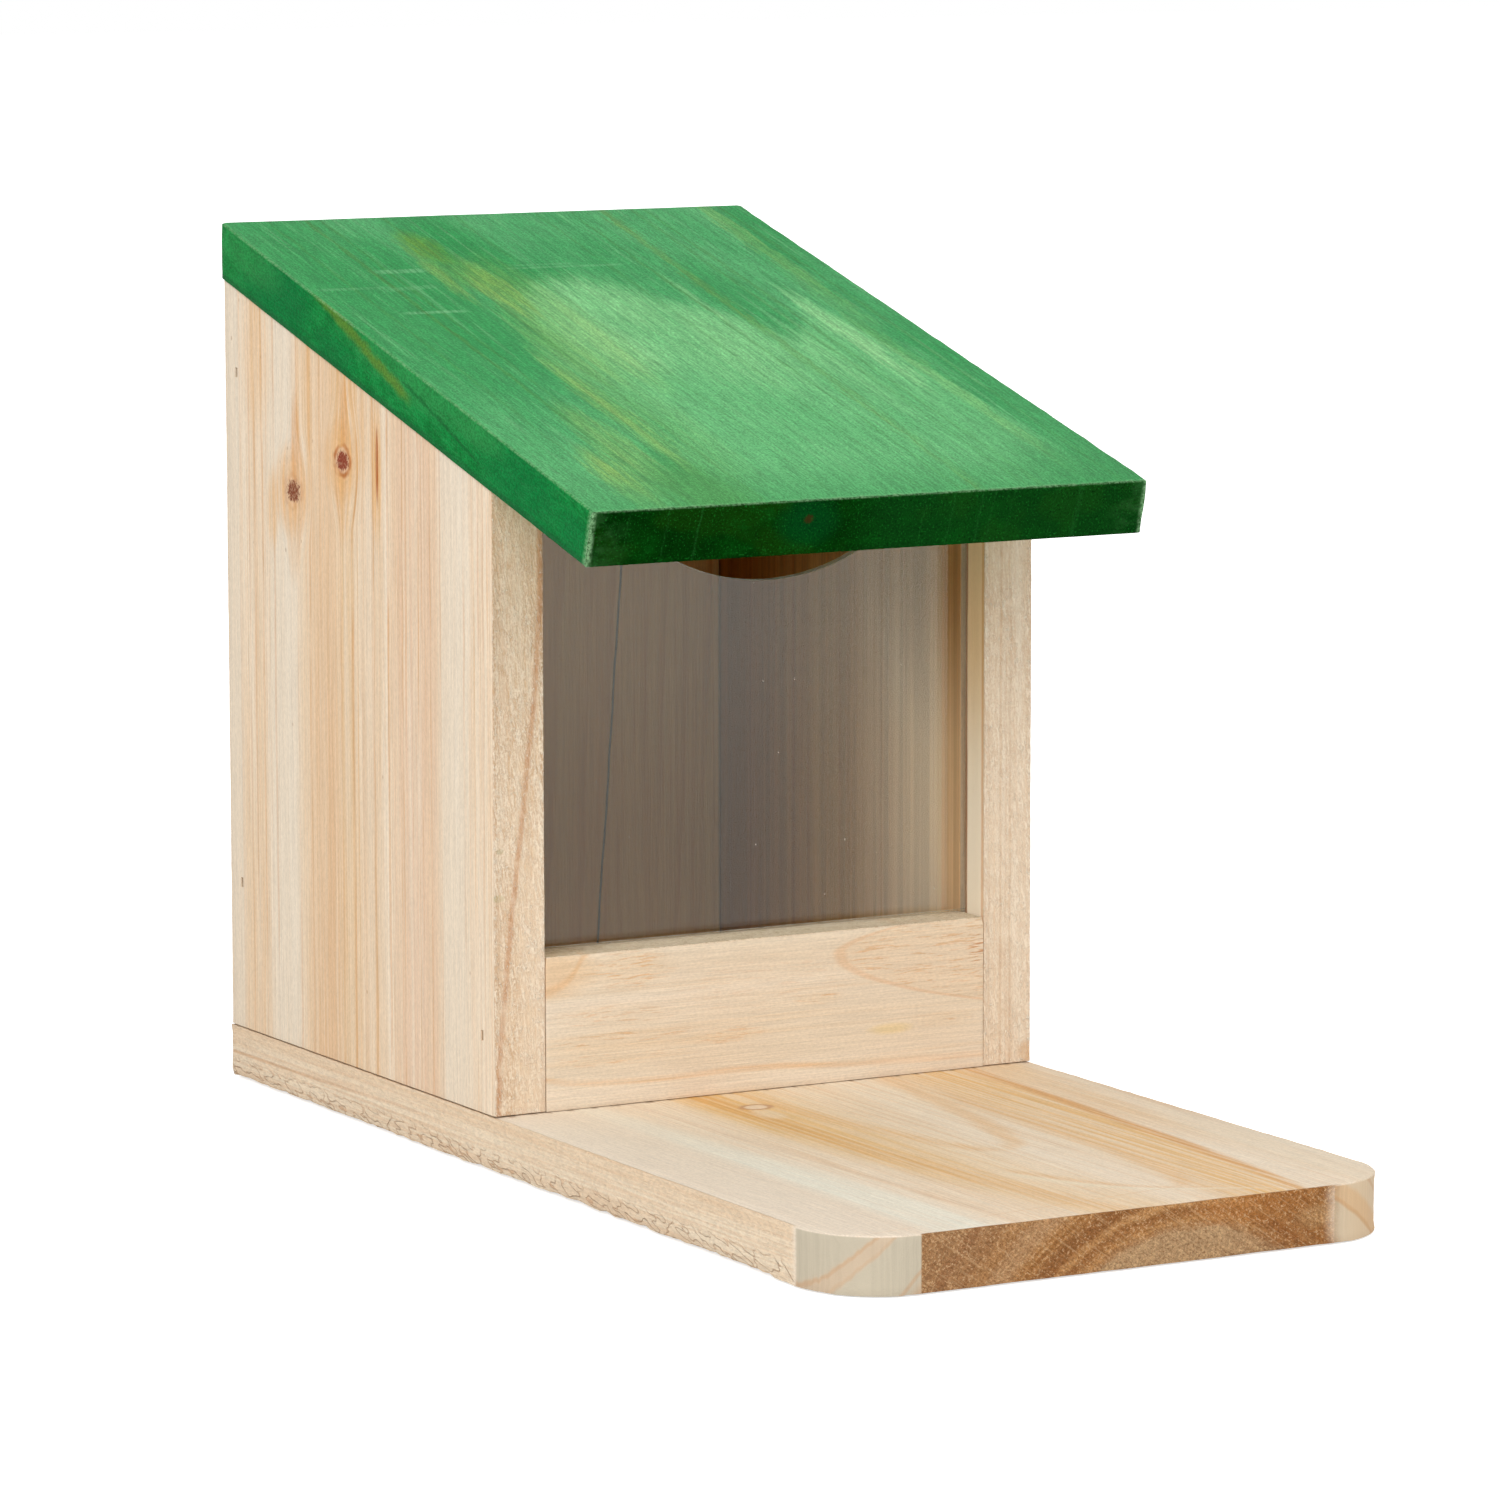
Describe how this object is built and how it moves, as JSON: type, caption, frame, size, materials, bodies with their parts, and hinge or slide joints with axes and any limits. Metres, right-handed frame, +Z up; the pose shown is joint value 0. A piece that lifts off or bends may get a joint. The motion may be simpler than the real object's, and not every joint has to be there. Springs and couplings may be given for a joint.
{
  "type": "squirrel feeder box",
  "caption": "Wooden feeder box with a sloping hinged lid, a clear front pane with a round notch, and a long base board as a feeding ledge.",
  "frame": {"origin": "centre of the base board's underside", "axes": "+X to the right seen from the front, +Y to the rear where the feeder is fixed, +Z up"},
  "size_m": [0.1204, 0.2537, 0.175],
  "materials": {
    "green_stained_wood": "stained, low sheen",
    "pine": "planed, untreated",
    "base_wood": "planed, untreated",
    "clear_pane": "clear, glossy",
    "zinc_steel": "zinc plated",
    "brad_steel": "bright wire"
  },
  "bodies": {
    "box": {"base_board": "base_wood", "left_side": "pine", "right_side": "pine", "rear_board": "pine", "front_rail": "pine", "window_pane": "clear_pane", "base_brads": "brad_steel", "left_side_brads": "brad_steel", "right_side_brads": "brad_steel", "left_hinge_body_leaf": "zinc_steel", "left_hinge_body_screws": "zinc_steel", "left_hinge_pin": "zinc_steel", "right_hinge_body_leaf": "zinc_steel", "right_hinge_body_screws": "zinc_steel", "right_hinge_pin": "zinc_steel"},
    "lid": {"lid_board": "green_stained_wood", "left_hinge_lid_leaf": "zinc_steel", "left_hinge_lid_screws": "zinc_steel", "right_hinge_lid_leaf": "zinc_steel", "right_hinge_lid_screws": "zinc_steel"}
  },
  "joints": [
    {"name": "lid_hinge", "type": "hinge", "parent": "box", "child": "lid", "pos_m": [0, 0.127, 0.16358], "axis": [-1, 0, 0], "range_deg": [0, 180]}
  ]
}
